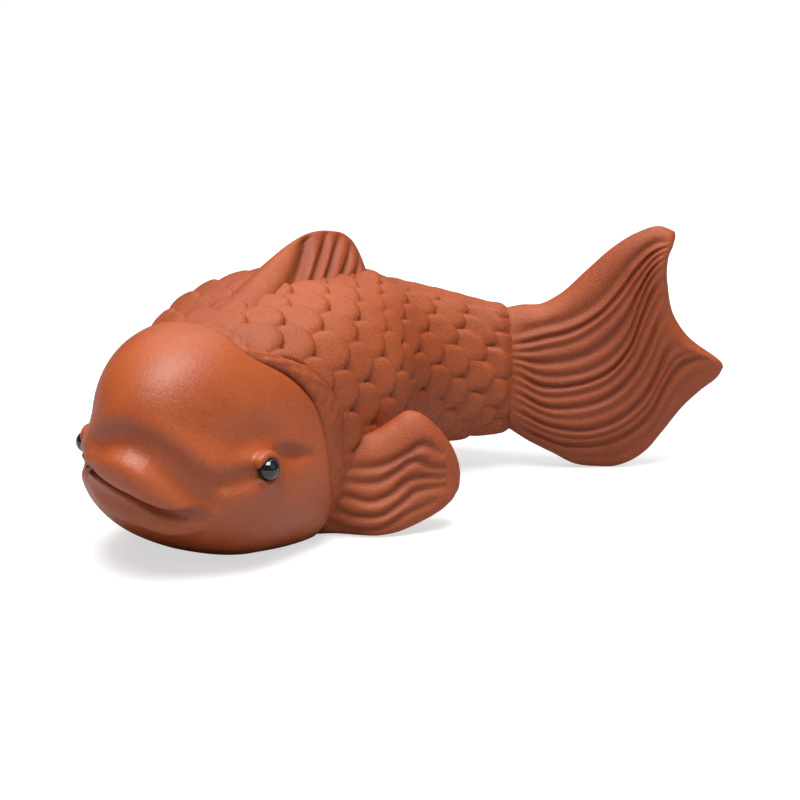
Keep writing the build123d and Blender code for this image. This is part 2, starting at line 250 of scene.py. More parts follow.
def head_edge(angle):
    """Station of the neck's edge at an angle round the trunk, the same on both sides."""
    folded = np.degrees(np.arcsin(np.clip(np.sin(angle), -1, 1)))
    return smooth_rows(EDGE_ROWS, folded)[..., 0]


def head_rim(angle):
    """Station where the rubbed skin stops, in front of the edge on the flanks and at it on top."""
    return head_edge(angle) - RIM_LEAD * fade(np.sin(angle), 0.98, 0.8)


print("edge and rim at the left side", head_edge(np.array(0.0)), head_rim(np.array(0.0)))

# %% [markdown]
# Scales keep their size on the real skin, but the curl squeezes stations together inside the bend
# and pulls them apart outside. So the scales are laid out in lengths measured on the skin itself,
# which two tables give for every station and angle.

# %% Lengths on the skin
TABLE_START, TABLE_END = 20, 118


def skin_tables():
    """Two tables over stations (rows) and angles (columns) of the skin. Up is the summed distance
    round the skin from the middle of a flank towards the back. Along is the summed length from the
    neck, each step being longer outside the curl and shorter inside: 1 - side / BEND_RADIUS."""
    stations = np.linspace(TABLE_START, TABLE_END, TABLE_END - TABLE_START + 1)[:, None]
    angles = np.linspace(-math.pi, math.pi, 361)[None, :]
    side, height = trunk_point(stations, angles)
    step = np.hypot(np.diff(side, axis=1), np.diff(np.maximum(height, 0), axis=1))
    step = step * np.sign(np.cos(angles[:, 1:]))
    up = np.concatenate([np.zeros((len(stations), 1)), np.cumsum(step, 1)], 1)
    right_middle = np.where(angles < 0, up[:, :1], up[:, -1:])
    up = np.where(np.cos(angles) < 0, up - right_middle, up - up[:, 180:181])
    bend_end = STRAIGHT_RUN + BEND_RADIUS * (HEAD_TURN - TAIL_TURN)
    bent = (stations > STRAIGHT_RUN) & (stations < bend_end)
    along = TABLE_START + np.cumsum(1 - bent * side / BEND_RADIUS, 0)
    return up, along


def look_up(table, station, angle):
    """Value of a skin table at a station and an angle, by straight lines between its numbers."""
    turned = (np.asarray(angle) + math.pi) % (2 * math.pi) - math.pi
    i = np.clip(station - TABLE_START, 0, TABLE_END - TABLE_START - 0.001)
    j = np.clip(np.degrees(turned) + 180, 0, 359.999)
    i0, j0 = i.astype(int), j.astype(int)
    a, b = i - i0, j - j0
    return ((1 - a) * (1 - b) * table[i0, j0] + a * (1 - b) * table[i0 + 1, j0]
            + (1 - a) * b * table[i0, j0 + 1] + a * b * table[i0 + 1, j0 + 1])


UP_TABLE, ALONG_TABLE = skin_tables()
print("length to the tail, inside and outside the curl", ALONG_TABLE[-1, 180], ALONG_TABLE[-1, 0])

# %% [markdown]
# The trunk is covered with scales that overlap like roof tiles: each rises towards the tail and ends
# in a rounded free edge. A real maker presses them in row by row. Here each scale is a height over
# the skin, and the skin takes the highest of all scales at every point, which gives the overlap.

# %% Scales
SCALE_ROWS, FIRST_SCALE, SCALES_EACH_WAY = 21, 33.0, 8
# Size and thickness of a scale: lengths from the neck, and values there
SCALE_SIZE = ([40, 60, 85, 118], [7.9, 7.7, 6.6, 5.4])
SCALE_THICKNESS = ([40, 90, 112], [2.3, 2.0, 1.5])
# Shares of a scale's size: from row to row, half its width, and the bulge of its free edge
SCALE_PITCH, SCALE_HALF, SCALE_BULGE = 0.74, 0.555, 0.60
# Lengths back from the free edge: the crisp lip, the round of the pillow, and down to the skin
LIP_LENGTH, ROUND_LENGTH, FALL_LENGTH = 0.3, 2.3, 8.6


def scale_list():
    """Scales as rows of (length along to the free edge, distance up the flank, half width, bulge of
    the free edge, thickness, flank). Rows are a pitch apart, each half a scale off its neighbour."""
    random = np.random.default_rng(7)
    scales = []
    along = FIRST_SCALE
    for row in range(SCALE_ROWS):
        size, thick = np.interp(along, *SCALE_SIZE), np.interp(along, *SCALE_THICKNESS)
        for flank in (1, -1):
            for number in range(-SCALES_EACH_WAY, SCALES_EACH_WAY + 1):
                up = (number + 0.5 * (row % 2)) * size + random.normal(0, 0.2)
                shift = random.normal(0, 0.25)
                scales.append((along + shift, up, SCALE_HALF * size, SCALE_BULGE * size,
                               thick * random.uniform(0.9, 1.1), flank))
        along += SCALE_PITCH * size
    return scales


def scale_height(station, angle):
    """Height of the scales over the skin in mm. With ahead as the distance to the scale's free
    edge, bulge * sqrt(1 - v^2) from its middle, a scale is a pillow: thickness times a ramp that
    falls towards the head, a quarter circle over the edge and a flat arch from side to side. The
    highest scale counts at every point."""
    up, along = look_up(UP_TABLE, station, angle), look_up(ALONG_TABLE, station, angle)
    flank = np.where(np.cos(angle) >= 0, 1, -1)
    height = np.zeros_like(up)
    for edge, middle, half, bulge, thick, which in scale_list():
        near = (abs(up - middle) < half) & (flank == which)
        near = near & (along > edge - FALL_LENGTH) & (along < edge + bulge)
        if not near.any():
            continue
        v = (up[near] - middle) / half
        ahead = edge + bulge * np.sqrt(1 - v**2) - along[near]
        t = np.clip(ahead / ROUND_LENGTH, 0, 1)
        lip = 0.35 * np.sqrt(np.clip(ahead / LIP_LENGTH, 0, 1)) + 0.65 * np.sqrt(1 - (1 - t) ** 2)
        arch = np.sqrt(np.clip(1 - abs(v) ** 3.2, 0, 1))
        ramp = np.clip(1 - ahead / FALL_LENGTH, 0, 1) ** 0.75
        height[near] = np.maximum(height[near], thick * ramp * lip * arch)
    return height


print(len(scale_list()), "scales laid out")

# %% [markdown]
# The trunk runs from under the collar to inside the tail's root. Its scales fade out under the
# belly, along the ridge behind the dorsal fin and at both ends. A hollow clay piece needs a hole
# to let air out in the kiln, so a small one goes up into the flat of the belly.

# %% Trunk piece
TRUNK_GRID, TRUNK_END = (236, 400), 117.5
SKIN_SUNK, ROOT_SUNK = 0.45, 2.8
VENT_STATION, VENT_RADIUS, VENT_DEPTH = 56.6, 1.6, 4.0


def make_trunk():
    """Rings of trunk_point, moved off the surface by the scales' height less what the skin is
    sunk. Points within the vent's radius are raised by its depth."""
    rows, columns = TRUNK_GRID
    angle = full_turn(columns)[None, :]
    along = np.linspace(0, 1, rows)[:, None]
    start = head_edge(angle) - 1.5
    station = start + (TRUNK_END - start) * along
    angle = np.broadcast_to(angle, station.shape)
    side, height = trunk_point(station, angle)
    base = place(station, side, height)
    ridge = fade(station, 84, 90) * fade(np.sin(angle), 0.90, 0.985)
    covered = fade(station, 117.0, 111.5) * (1 - ridge) * fade(height, 1.0, 5)
    covered = covered * fade(station - head_rim(angle), 3.0, 5.2)
    raised = scale_height(station, angle) * covered
    sunk = SKIN_SUNK * covered + ROOT_SUNK * fade(station, 111.5, TRUNK_END)
    rings = off_surface(base, (raised - sunk) * MM)
    rings[..., 2] = np.maximum(rings[..., 2], 0)
    from_vent = np.linalg.norm(rings[..., :2] - place(VENT_STATION, 0, 0)[:2], axis=-1) / MM
    hole = fade(from_vent, VENT_RADIUS + 0.3, VENT_RADIUS - 0.3) * (height < 5)
    rings[..., 2] += VENT_DEPTH * MM * hole
    # Painted shade: the colour darkens where the scales lie low, in the crescents under each free edge.
    piece = ring_mesh("trunk", rings, hollow=np.clip(1 - raised, 0, 1) * covered)
    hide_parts("body_shell")
    return piece


trunk = make_trunk()

# %% [markdown]
# The head is one smooth, rubbed form: a tall dome over a wide jaw, full lips, and a pinch of clay
# round each eye. Such soft joins are hard to draw as curves and easy to say as distances: each part
# is a number that is negative inside it, and a soft minimum melts the parts together.

# %% Forms that melt together
def egg(s, l, z, centre, radii, power):
    """Rough distance to an egg: ((|s|/a)^p + (|l|/b)^p + (|z|/c)^p)^(1/p) - 1, times its least
    radius. radii are in front, behind, to the side and up."""
    front, behind, wide, tall = radii
    long = np.where(s > centre[0], behind, front)
    total = (abs(s - centre[0]) / long) ** power + (abs(l - centre[1]) / wide) ** power
    total = total + (abs(z - centre[2]) / tall) ** power
    return (total ** (1 / power) - 1) * min(radii)


def melt(a, b, soft):
    """Soft minimum of two distances: they blend over a width of soft."""
    h = np.clip(0.5 + 0.5 * (b - a) / soft, 0, 1)
    return b * (1 - h) + a * h - soft * h * (1 - h)


def carve(a, b, soft):
    """Distance a with b taken out of it, the edge rounded over soft."""
    return -melt(-a, b, soft)


def roll(s, l, z, rows):
    """Distance to a roll of clay whose middle and radius follow rows along the side direction.
    The step along the muzzle counts less where the roll runs aslant."""
    on = smooth_rows(rows, l)
    ahead = smooth_rows(rows, np.clip(l, rows[0][0], rows[-1][0] - 0.1) + 0.1)
    lean = (ahead[..., 0] - on[..., 0]) / 0.1
    past = l - np.clip(l, rows[0][0], rows[-1][0])
    off = np.sqrt(((s - on[..., 0]) ** 2 / (1 + lean**2)) + (z - on[..., 1]) ** 2 + past**2)
    return off - (on[..., 2] if on.shape[-1] > 2 else 0)


def crease(s, l, z, rows):
    """Distance to a line through the points of rows, less the radius that each row gives. The
    line is cut into twelve straight runs, and the nearest one counts."""
    numbered = np.concatenate([np.arange(len(rows))[:, None], rows], 1)
    path = smooth_rows(numbered, np.linspace(0, len(rows) - 1, 13))
    nearest = np.full(np.shape(s), 99.0)
    for a, b in zip(path[:-1], path[1:]):
        step = b[:3] - a[:3]
        share = (s - a[0]) * step[0] + (l - a[1]) * step[1] + (z - a[2]) * step[2]
        t = np.clip(share / (step @ step), 0, 1)
        off = (s - a[0] - t * step[0]) ** 2 + (l - a[1] - t * step[1]) ** 2
        off = np.sqrt(off + (z - a[2] - t * step[2]) ** 2)
        nearest = np.minimum(nearest, off - a[3] - t * (b[3] - a[3]))
    return nearest


print("melt of 1 and 1 over 2:", melt(1.0, 1.0, 2.0))

# %% [markdown]
# Four eggs give the head's mass: the dome, the rear that meets the trunk, the jaw, whose chin lifts
# off the ground towards the muzzle, and a cheek to carry each eye. Lips and creases are drawn as
# lines with a radius. Their numbers were found by laying the outlines over the real fish's picture.

# %% Numbers of the head
# Centre (station, left, up), radii (in front, behind, to the side, up) and power
DOME = ((22.52, 0, 25.88), (21.27, 32.0, 16.97, 18.59), 2.2)
REAR = ((47, 0, 19.5), (28.0, 28.0, 22.4, 24.2), 2.4)
JAW = ((32.26, 0, 13.34), (30.57, 26.0, 20.32, 13.63), 2.4)
CHEEK = ((19.69, 12.3, 19.33), (5.88, 5.88, 7.0, 5.85), 2.0)
# How far the underside lifts off the table towards the muzzle, and the jaw's share of that lift
CHIN_LIFT, JAW_SHARE = 17.9, 0.62
# Lips, by distance to the left: side, then station and height of the middle, and radius
UPPER_LIP = [
    (-13.5, 9.8, 19.2, 0.8), (-11.0, 7.8, 20.9, 2.0), (-8.0, 5.9, 22.0, 3.1), (-4.0, 4.3, 22.2, 4.0),
    (0.0, 3.8, 21.6, 4.3), (4.0, 4.7, 19.7, 4.1), (7.0, 6.3, 17.4, 3.3), (10.0, 8.4, 15.4, 2.2),
    (12.4, 10.4, 14.4, 0.9),
]
LOWER_LIP = [
    (-13.0, 11.0, 16.6, 0.8), (-10.0, 9.2, 14.8, 2.4), (-5.0, 8.2, 13.6, 3.2), (0.0, 8.0, 12.9, 3.4),
    (5.0, 8.8, 11.8, 3.2), (9.0, 10.0, 11.8, 2.4), (11.5, 11.0, 12.7, 1.3), (12.8, 11.8, 13.8, 0.6),
]
MOUTH_LINE = [
    (-13.2, 8.4, 19.4), (-10.3, 4.8, 20.4), (-5.3, 3.0, 19.2), (-0.9, 3.3, 17.2), (3.5, 4.5, 15.1),
    (7.8, 5.4, 14.0), (10.4, 6.6, 13.7), (11.6, 7.7, 13.9),
]
# Creases: station, distance to the left, height, radius. Brow and valley are on both cheeks.
LIP_CREASE = [
    (2.6, -7.4, 25.6, 0.1), (1.9, -5.4, 26.7, 0.6), (1.3, -3.2, 27.5, 0.9), (1.0, 0.6, 27.7, 1.0),
    (1.7, 5.3, 26.1, 1.1), (3.6, 8.6, 22.9, 1.1), (5.5, 10.9, 19.6, 1.0), (7.4, 12.2, 16.4, 0.5),
]
BROW = [
    (23.4, 18.9, 22.6, 0.1), (25.4, 19.2, 21.6, 0.9), (27.3, 19.7, 20.9, 1.1), (29.2, 20.2, 20.3, 0.8),
    (31.6, 21.2, 19.9, 0.1),
]
VALLEY = [
    (15.2, 18.3, 19.6, 0.6), (12.2, 16.6, 19.4, 0.3), (8.8, 14.5, 19.6, 0.2), (6.2, 12.2, 20.0, 0.4),
]
# Middle of the left bead, and the turns of its look, forwards and up
EYE = (18.36, 19.43, 20.38)
EYE_FORWARD, EYE_UP = math.radians(12), math.radians(4)
# The socket is an almond, long towards the rear and a little down, its middle behind the bead's
SOCKET_LEAN, SOCKET_BEHIND, SOCKET_BELOW, SOCKET_STRETCH = math.radians(-12), 1.2, 0.5, 1.75
SOCKET_RADIUS, SOCKET_OUT, LID_RADIUS, LID_ROLL = 3.0, 3.1, 2.55, 0.72

print("mouth from", MOUTH_LINE[0], "to", MOUTH_LINE[-1])

# %% [markdown]
# With the numbers in place, the whole head is one function of a point: melt the eggs, melt the
# lips on, carve the creases, then seat each eye: carve an almond and melt a rolled lid round the bead.

# %% Distance to the head
def seat_eye(form, s, l, z, flank):
    """The form with an almond cup carved out and a ring of clay, the lid, melted round the bead.
    out is the way along the eye's look; the cup is a ball of SOCKET_RADIUS, stretched."""
    look = np.array([-math.tan(EYE_FORWARD), flank, math.tan(EYE_UP)])
    look /= np.linalg.norm(look)
    ds, dl, dz = s - EYE[0], l - flank * EYE[1], z - EYE[2]
    out = ds * look[0] + dl * look[1] + dz * look[2]
    behind, below = ds - SOCKET_BEHIND, dz + SOCKET_BELOW
    long = behind * math.cos(SOCKET_LEAN) + below * math.sin(SOCKET_LEAN)
    high = -behind * math.sin(SOCKET_LEAN) + below * math.cos(SOCKET_LEAN)
    flat = np.sqrt((long / SOCKET_STRETCH) ** 2 + high**2)
    cup = np.sqrt(flat**2 + ((out - SOCKET_OUT) * 0.8) ** 2) - SOCKET_RADIUS
    form = carve(form, cup, 0.9)
    lid = LID_ROLL + 0.16 * np.clip(dz / 2.5, -1, 1)
    ring = np.sqrt((np.sqrt(ds**2 + dz**2) - LID_RADIUS) ** 2 + (out + 0.05) ** 2) - lid
    return melt(form, ring, 0.9)


def head_distance(s, l, z):
    """Distance to the head in mm: dome, rear and jaw melted together, then lips, then eyes."""
    spread = 1 + 0.009 * (s - 22)
    chin = CHIN_LIFT * np.clip((26 - s) / 24, 0, 1.3) ** 1.5
    dome, rear = egg(s, l / spread, z, *DOME), egg(s, l, z, *REAR)
    jaw = egg(s, l, z - JAW_SHARE * chin, *JAW)
    form = melt(melt(dome, rear, 4.0), melt(jaw, rear, 4.0), 1.6)
    for flank in (1, -1):
        form = melt(form, egg(s, l * flank, z, *CHEEK), 2.6)
    near = s < 24
    lips = melt(roll(s, l, z, UPPER_LIP), roll(s, l, z, LOWER_LIP), 0.6)
    form = np.where(near, melt(form, lips, 1.6), form)
    form = np.where(near, carve(form, crease(s, l, z, LIP_CREASE), 4.6), form)
    # the mouth line is widest in the middle and runs out at both corners
    line = np.clip((12.4 - abs(l - 0.4)) / 4.0, 0.1, 1)
    mouth = roll(s, l, z, MOUTH_LINE) - 1.15 * line
    form = np.where(near, carve(form, mouth, 1.3 * line), form)
    for flank in (1, -1):
        form = seat_eye(form, s, l, z, flank)
        form = carve(form, crease(s, l * flank, z, BROW) - 0.2, 1.5)
        form = carve(form, crease(s, l * flank, z, VALLEY), 3.4)
    return form


inside, before = (head_distance(np.array(s), np.array(0.0), np.array(19.0)) for s in (27.0, -9.0))
print("distance inside the head", float(inside), "and before the muzzle", float(before))

# %% [markdown]
# To get a skin from distances, rays leave the middle of the head in all directions, and each one is
# followed inwards until the distance turns negative. The rays form rings round the muzzle, so the
# points fall straight into the grid. Where the clay lies deep, a mark paints shade into the colour.

# %% Head piece
HEAD_GRID, HEART = (225, 400), (27.0, 0.0, 19.0)
RAY_START, RAY_STEP, RAY_STEPS, HALVINGS = 46.0, 0.65, 64, 13


def head_painted_shade(s, l, z):
    """Painted shade, 0 to 1, where the clay lies deep: in the mouth, in the creases, and round the seat
    of each bead.
    """
    marks = 0.95 * fade(roll(s, l, z, MOUTH_LINE), 2.6, 1.0) * (s < 20) * (abs(l) < 13)
    marks = np.maximum(marks, 0.30 * fade(crease(s, l, z, LIP_CREASE), 3.0, 0.5))
    for flank in (1, -1):
        marks = np.maximum(marks, 0.5 * fade(crease(s, l * flank, z, BROW), 2.0, 0.2))
        marks = np.maximum(marks, 0.4 * fade(crease(s, l * flank, z, VALLEY), 2.6, 0.3))
        from_bead = np.sqrt((s - EYE[0]) ** 2 + (l - flank * EYE[1]) ** 2 + (z - EYE[2]) ** 2)
        marks = np.maximum(marks, 0.8 * fade(from_bead, 2.9, 2.2))
    return marks


def make_head():
    """Rays from HEART with direction (-cos theta, sin theta cos phi, sin theta sin phi), followed
    inwards by RAY_STEP until the distance is negative, and then halved in on the skin. The head is
    cut off at its rim and at the table."""
    rows, columns = HEAD_GRID
    share = np.linspace(0, 1, rows + 2)[1:-1]
    theta = math.pi * (0.72 * share + 0.28 * share**3)
    phi = full_turn(columns)
    theta, phi = np.meshgrid(theta, phi, indexing="ij")
    ds, dl, dz = -np.cos(theta), np.sin(theta) * np.cos(phi), np.sin(theta) * np.sin(phi)

    def at(reach):
        return HEART[0] + reach * ds, HEART[1] + reach * dl, HEART[2] + reach * dz

    def distance(reach):
        s, l, z = at(reach)
        # the rim lies at a station that depends on the angle round the trunk
        trunk_row = smooth_rows(TRUNK_ROWS, np.maximum(s, 26))
        wide, low, high = trunk_row[..., 0], trunk_row[..., 1], trunk_row[..., 2]
        angle = np.arctan2((z - (low + high) / 2) * wide, l * (high - low) / 2)
        before_rim = -(s - head_rim(angle)) * 0.8
        return carve(carve(head_distance(s, l, z), before_rim, 2.4), z, 0.8)

    far = np.full(theta.shape, RAY_START)
    found = np.zeros(theta.shape, bool)
    for step in range(RAY_STEPS):
        found |= distance(far) < 0
        far = np.where(found, far, far - RAY_STEP)
    low, high = far, far + RAY_STEP
    for step in range(HALVINGS):
        middle = (low + high) / 2
        inside = distance(middle) < 0
        low, high = np.where(inside, middle, low), np.where(inside, high, middle)
    s, l, z = at((low + high) / 2)
    # The mark is painted shade in the mouth, the creases and round each bead.
    piece = ring_mesh("head", place(s, l, np.maximum(z, 0)), hollow=head_painted_shade(s, l, z))
    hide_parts("head_shell", "upper_lip", "lower_lip", "eyelid_left", "eyelid_right")
    return piece


head = make_head()

# %% [markdown]
# The eyes are beads of black glass, pressed into the clay. A bead is a plain ball on the real fish
# too, so it is one here, with a gloss that shows the lamps.

# %% Eyes
BEAD_GRID = (50, 96)


def make_eye(name, flank):
    """A ball round the CAD bead's middle: radius times (sin theta cos phi, sin theta sin phi,
    cos theta), theta from the top down and phi round it."""
    low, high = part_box(name)
    centre, radius = (np.array(low) + np.array(high)) / 2, (high.z - low.z) / 2
    theta = np.linspace(0, math.pi, BEAD_GRID[0])[1:-1, None]
    phi = full_turn(BEAD_GRID[1])[None, :]
    ball = np.stack([np.sin(theta) * np.cos(phi), np.sin(theta) * np.sin(phi),
                     np.cos(theta) + 0 * phi], -1)
    piece = ring_mesh("bead_" + ("left" if flank > 0 else "right"), centre + radius * ball)
    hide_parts(name)
    return piece


beads = [make_eye("eye_left", 1), make_eye("eye_right", -1)]

# %% [markdown]
# A rough strip of clay covers the seam between head and trunk. It was pressed on by finger, so
# neither its width nor its surface is even.

# %% Collar
COLLAR_GRID = (900, 56)
# How far the strip reaches in front of the rim, under the skin and over it
COLLAR_AHEAD, COLLAR_SUNK, COLLAR_RISE = 0.7, 0.8, 1.7


def make_collar():
    """A flat roll round the trunk from the head's rim backwards. Its section is a squared oval
    between the sunk and the raised skin: share of the height = 0.5 + 0.5 * fuller sine. It is
    narrower over the back, and sums of slow and quick sines make it uneven."""
    angle = full_turn(COLLAR_GRID[0])[:, None]
    around = full_turn(COLLAR_GRID[1])[None, :]
    half_width = 2.7 - 0.5 * fade(np.sin(angle), 0.3, 0.7) - 0.7 * fade(np.sin(angle), 0.7, 0.95)
    half_width = half_width + 0.12 * np.sin(7 * angle + 1) + 0.06 * np.sin(23 * angle)
    oval = fuller(np.cos(around), 0.75)
    station = head_rim(angle) + half_width - COLLAR_AHEAD + half_width * oval
    uneven = 0.10 * np.sin(11 * angle + 2 * np.sin(3 * angle)) + 0.07 * np.sin(29 * angle + 4 * oval)
    uneven = uneven + 0.04 * np.sin(61 * angle - 5 * oval)
    side, height = trunk_point(station, angle + 0 * around, -COLLAR_SUNK)
    outer_side, outer_height = trunk_point(station, angle + 0 * around, COLLAR_RISE + uneven)
    t = 0.5 + 0.5 * fuller(np.sin(around), 0.8)
    side, height = side + (outer_side - side) * t, height + (outer_height - height) * t
    rings = place(station, side, np.maximum(height, 0))
    # Painted shade: the strip's colour darkens towards its inner side, where it meets the skin.
    piece = ring_mesh("collar", rings, tyre=True, hollow=0.6 * (1 - t) + 0 * angle)
    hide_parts("gill_collar")
    return piece


collar = make_collar()

# %% [markdown]
# The fins are slabs of clay with furrows pressed along their rays. The furrows are lines on the
# slab, and the skin sinks near them by a bell curve of the distance to the nearest one.

# %% Furrows
FURROW_POINTS = 24


def furrow_depth(p, q, lines):
    """Depth at points (p, q), the largest of depth * exp(-(distance / width)^2) over all lines.
    Each line is (depth, width, corner points), smoothed into short straight runs, and its depth
    fades in and out at its ends."""
    total = np.zeros_like(p)
    for depth, width, corners in lines:
        corners = np.asarray(corners, float)
        rows = np.concatenate([np.linspace(0, 1, len(corners))[:, None], corners], 1)
        path = smooth_rows(rows, np.linspace(0, 1, FURROW_POINTS))
        strength = np.sqrt(np.sin(np.linspace(0.06, 0.94, FURROW_POINTS - 1) * math.pi))
        for start, end, share in zip(path[:-1], path[1:], strength):
            step = end - start
            t = np.clip(((p - start[0]) * step[0] + (q - start[1]) * step[1]) / (step @ step), 0, 1)
            off = np.hypot(p - start[0] - t * step[0], q - start[1] - t * step[1])
            total = np.maximum(total, depth * share * np.exp(-((off / width) ** 2)))
    return total


print("a furrow's depth falls to", round(math.exp(-1), 2), "of its middle at its width")

# %% [markdown]
# The dorsal fin is a blade along the back, broad at its foot. Its crest climbs to the rear and
# drops there, and its furrows run from the crest forwards and down, on both faces.

# %% Dorsal fin
# Station, half width, height of the crest
DORSAL_ROWS = [
    (27.0, 7.0, 41.8), (34.0, 9.6, 43.7), (42.0, 11.2, 45.4), (49.6, 11.2, 47.6), (56.0, 10.2, 49.8),
    (62.5, 8.8, 51.6), (67.0, 7.6, 52.4), (71.0, 6.6, 52.5), (75.0, 5.6, 51.9), (78.2, 4.8, 50.8),
    (80.6, 3.9, 48.6), (82.6, 2.9, 44.8), (84.0, 2.0, 41.0),
]
# Depth, width, and corners as (station, height)
DORSAL_FURROWS = [
    (1.7, 1.1, [(67.2, 52.4), (63.0, 49.7), (53.7, 45.9), (45.1, 43.4), (36.0, 41.0)]),
    (1.2, 0.8, [(72.6, 51.6), (69.0, 49.2), (62.0, 46.4), (53.0, 44.0), (41.0, 41.4)]),
    (1.2, 0.8, [(76.2, 50.6), (73.0, 48.4), (68.1, 45.9), (58.7, 43.2), (50.0, 41.6)]),
    (1.0, 0.7, [(78.8, 48.6), (76.4, 46.4), (73.0, 44.6), (66.3, 42.7)]),
    (0.8, 0.7, [(81.0, 46.0), (78.6, 44.0), (74.1, 42.4)]),
]
DORSAL_GRID, DORSAL_START, DORSAL_LENGTH = (190, 200), 27.0, 57.0
# Height of the foot, and how much narrower the crest is than the foot
DORSAL_FOOT, DORSAL_TAPER = 34.0, 0.62


def make_dorsal():
    """Rings along the back; each is side = width * cos * (1 - DORSAL_TAPER * sin), so that it is
    broad at the foot and narrow at the crest. Rings stand closer towards the steep rear."""
    share = np.linspace(0, 1, DORSAL_GRID[0])[:, None]
    station = DORSAL_START + DORSAL_LENGTH * (1 - (1 - share) ** 1.25)
    angle = full_turn(DORSAL_GRID[1])[None, :]
    row = smooth_rows(DORSAL_ROWS, station)
    wide, crest, foot = row[..., 0], row[..., 1], DORSAL_FOOT
    side = wide * np.cos(angle) * (1 - DORSAL_TAPER * np.sin(angle))
    height = (foot + crest) / 2 + (crest - foot) / 2 * np.sin(angle)
    station = np.broadcast_to(station, side.shape)
    depth = furrow_depth(station, height, DORSAL_FURROWS) * fade(abs(np.cos(angle)), 0.05, 0.35)
    rings = off_surface(place(station, side, height), -depth * MM)
    # Painted shade: the colour darkens with the depth of the furrows.
    piece = ring_mesh("dorsal", rings, hollow=depth / 1.2)
    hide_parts("dorsal_fin")
    return piece


dorsal = make_dorsal()

# %% [markdown]
# The pectoral fins are thick paddles that stand out behind the neck, the right one a mirror of the
# left. They rest on the table at the root and lift off it towards the tip.

# %% Pectoral fins
# Reach along the paddle, half thickness, bottom, top
PADDLE_ROWS = [
    (0.0, 4.0, 0.0, 19.0), (4.0, 4.5, 0.0, 19.3), (8.0, 4.8, 0.0, 19.6), (12.0, 4.8, 0.1, 20.0),
    (15.0, 4.7, 0.5, 21.7), (17.5, 4.6, 1.3, 23.2), (20.0, 4.3, 2.3, 22.9), (22.5, 3.9, 3.4, 21.0),
    (25.0, 3.3, 4.9, 18.2), (26.8, 2.5, 6.7, 15.2), (27.7, 1.6, 8.6, 12.6), (28.0, 0.5, 10.4, 11.0),
]
# Depth, width, and corners as (reach, height)
PADDLE_FURROWS = [
    (1.0, 0.9, [(6, 13.9), (11.9, 14.1), (16.9, 16.2), (19.4, 17.5), (21.4, 17.3), (23.6, 15.6)]),
    (0.9, 0.8, [(5, 11.3), (10.9, 11.0), (14.6, 12.6), (17.5, 14.4), (19.6, 14.5), (21.2, 13.3),
                (24.2, 12.6)]),
    (0.9, 0.8, [(3, 9.0), (6.1, 8.3), (9.6, 7.5), (13.8, 8.7), (16.9, 10.9), (19.8, 11.3),
                (24.0, 10.8)]),
    (0.9, 0.8, [(2, 6.6), (5, 5.0), (8.0, 4.5), (11.9, 4.8), (16.0, 7.0), (18.9, 8.8), (24.2, 9.1)]),
    (0.8, 0.8, [(2, 3.2), (5, 1.8), (8.6, 1.6), (13, 2.7), (16.9, 4.7), (22.3, 6.4)]),
]
PADDLE_GRID, PADDLE_LENGTH = (150, 220), 28.0
# Station and side of the root, the paddle's turn away from the middle line, and how far its lower
# edge is flared outwards
PADDLE_ROOT, PADDLE_TURN, PADDLE_FLARE = (44.0, 15.0), math.radians(52), 3.2


def make_paddle(name, flank):
    """Rings square to the paddle's own direction, ovals from its lower to its upper outline:
    off = thickness * fuller cosine, height = middle + half height * sine."""
    share = np.linspace(0, 1, PADDLE_GRID[0])[:, None]
    reach = PADDLE_LENGTH * (1 - (1 - share) ** 1.6)
    angle = full_turn(PADDLE_GRID[1])[None, :]
    row = smooth_rows(PADDLE_ROWS, reach)
    thick, low, high = row[..., 0], row[..., 1], row[..., 2]
    off = thick * fuller(np.cos(angle), 0.9)
    height = (low + high) / 2 + (high - low) / 2 * np.sin(angle)
    reach = np.broadcast_to(reach, off.shape)
    off = off + flank * PADDLE_FLARE * fade(height, 12, 0) * fade(reach, 2, 12)
    turn = HEAD_TURN - flank * PADDLE_TURN
    root = place(PADDLE_ROOT[0], flank * PADDLE_ROOT[1], 0.0) / MM
    x = root[0] + reach * math.cos(turn) + off * math.sin(turn)
    y = root[1] + reach * math.sin(turn) - off * math.cos(turn)
    depth = furrow_depth(reach, height, PADDLE_FURROWS) * fade(abs(np.cos(angle)), 0.1, 0.4)
    rings = off_surface(np.stack([x, y, height], -1) * MM, -depth * MM)
    rings[..., 2] = np.maximum(rings[..., 2], 0)
    # Painted shade: the colour darkens with the depth of the furrows.
    piece = ring_mesh(name, rings, hollow=depth)
    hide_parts("pectoral_fin_left" if flank > 0 else "pectoral_fin_right")
    return piece


paddles = [make_paddle("paddle_left", 1), make_paddle("paddle_right", -1)]

# %% [markdown]
# The tail fin's rays are long S-curves that sweep up from the root. Here the rays themselves are
# the grid: a few guide curves are drawn from root to rim, and all the lines between them follow.

